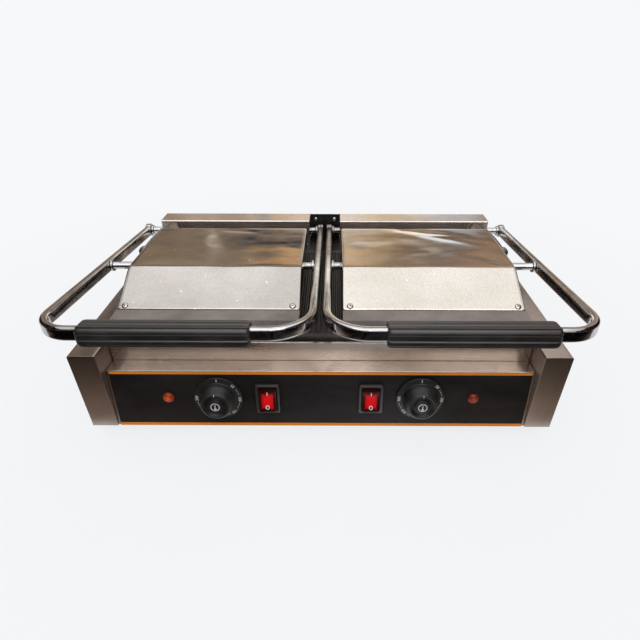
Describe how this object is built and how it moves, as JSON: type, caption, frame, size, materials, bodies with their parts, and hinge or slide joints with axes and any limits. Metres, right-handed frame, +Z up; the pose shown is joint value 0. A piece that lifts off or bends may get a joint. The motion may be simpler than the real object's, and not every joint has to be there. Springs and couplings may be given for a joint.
{
  "type": "double panini press",
  "caption": "Countertop contact grill with hinged ribbed upper plates over a wide ribbed lower plate, thermostat knobs and a slide-out grease tray.",
  "frame": {"origin": "centre of the object's footprint, at the height of the undersides of the feet", "axes": "+X to the right seen from the front, +Y to the back, +Z up"},
  "size_m": [0.5744, 0.3728, 0.1775],
  "materials": {
    "stainless": "brushed stainless sheet, warm grey",
    "cover": "fine-grained stainless sheet, lightly used",
    "chrome": "polished chrome plate",
    "cast_iron": "dark seasoned cast iron with a fine sand-cast grain",
    "zinc": "zinc-plated steel",
    "spring_steel": "oiled spring steel",
    "black_plastic": "black phenolic plastic, satin",
    "fascia": "black printed overlay, satin gloss",
    "rubber": "moulded black rubber",
    "amber_lens": "translucent amber lens",
    "red_lens": "translucent red, lit from inside",
    "element_sheath": "heat-darkened element sheath",
    "ceramic": "unglazed ceramic"
  },
  "bodies": {
    "body": {"side_box_left": "stainless", "side_box_right": "stainless", "front_panel": "stainless", "rear_deck": "stainless", "back_panel": "stainless", "rear_housing": "stainless", "lower_plate": "cast_iron", "base_pan": "zinc", "heat_shield": "zinc", "plate_rail_left": "zinc", "plate_rail_right": "zinc", "hinge_bearing_outer_left": "zinc", "hinge_bearing_outer_right": "zinc", "hinge_bearing_inner_left": "zinc", "hinge_bearing_inner_right": "zinc", "conduit_gland_left": "zinc", "conduit_gland_right": "zinc", "thermostat_left": "zinc", "thermostat_right": "zinc", "torsion_spring_left": "spring_steel", "torsion_spring_right": "spring_steel", "power_inlet": "black_plastic", "switch_housing_left": "black_plastic", "switch_housing_right": "black_plastic", "control_fascia": "fascia", "foot_front_left": "rubber", "foot_front_right": "rubber", "foot_rear_left": "rubber", "foot_rear_right": "rubber", "lamp_left": "amber_lens", "lamp_right": "amber_lens", "lower_element_left": "element_sheath", "lower_element_right": "element_sheath", "terminal_block": "ceramic"},
    "tray": {"grease_tray": "stainless"},
    "left_handle": {"handle_bar_left": "chrome", "grip_left": "black_plastic", "hinge_shaft_left": "chrome", "pivot_rod_left": "chrome"},
    "left_plate": {"upper_casting_left": "cast_iron", "upper_cover_left": "cover", "upper_element_left": "element_sheath", "conduit_elbow_left": "zinc", "conduit_left": "zinc"},
    "left_knob": {"knob_left": "black_plastic"},
    "left_rocker": {"rocker_left": "red_lens"},
    "right_handle": {"handle_bar_right": "chrome", "grip_right": "black_plastic", "hinge_shaft_right": "chrome", "pivot_rod_right": "chrome"},
    "right_plate": {"upper_casting_right": "cast_iron", "upper_cover_right": "cover", "upper_element_right": "element_sheath", "conduit_elbow_right": "zinc", "conduit_right": "zinc"},
    "right_knob": {"knob_right": "black_plastic"},
    "right_rocker": {"rocker_right": "red_lens"}
  },
  "joints": [
    {"name": "tray_slide", "type": "slide", "parent": "body", "child": "tray", "axis": [0, -1, 0], "range_m": [0, 0.06]},
    {"name": "left_lid", "type": "hinge", "parent": "body", "child": "left_handle", "pos_m": [-0.145, 0.15806, 0.138], "axis": [-1, 0, 0], "range_deg": [0, 65], "stiffness_Nm_per_rad": 1.7, "springref_deg": 166.16, "deforming": ["conduit_left"]},
    {"name": "left_plate_tilt", "type": "hinge", "parent": "left_handle", "child": "left_plate", "pos_m": [-0.145, 0.00406, 0.15086], "axis": [-1, 0, 0], "range_deg": [-20, 0]},
    {"name": "left_thermostat", "type": "hinge", "parent": "body", "child": "left_knob", "pos_m": [-0.1166, -0.16132, 0.06216], "axis": [0, 0.9925, -0.1226], "range_deg": [0, 270]},
    {"name": "left_power", "type": "hinge", "parent": "body", "child": "left_rocker", "pos_m": [-0.0601, -0.15438, 0.0613], "axis": [1, 0, 0], "range_deg": [0, 14]},
    {"name": "right_lid", "type": "hinge", "parent": "body", "child": "right_handle", "pos_m": [0.145, 0.15806, 0.138], "axis": [-1, 0, 0], "range_deg": [0, 65], "stiffness_Nm_per_rad": 1.7, "springref_deg": 166.16, "deforming": ["conduit_right"]},
    {"name": "right_plate_tilt", "type": "hinge", "parent": "right_handle", "child": "right_plate", "pos_m": [0.145, 0.00406, 0.15086], "axis": [-1, 0, 0], "range_deg": [-20, 0]},
    {"name": "right_thermostat", "type": "hinge", "parent": "body", "child": "right_knob", "pos_m": [0.1134, -0.16132, 0.06216], "axis": [0, 0.9925, -0.1226], "range_deg": [0, 270]},
    {"name": "right_power", "type": "hinge", "parent": "body", "child": "right_rocker", "pos_m": [0.0569, -0.15438, 0.0613], "axis": [1, 0, 0], "range_deg": [0, 14]}
  ],
  "couplings": [
    {"joint": "left_plate_tilt", "follows": "left_lid", "ratio": -0.3},
    {"joint": "right_plate_tilt", "follows": "right_lid", "ratio": -0.3}
  ]
}
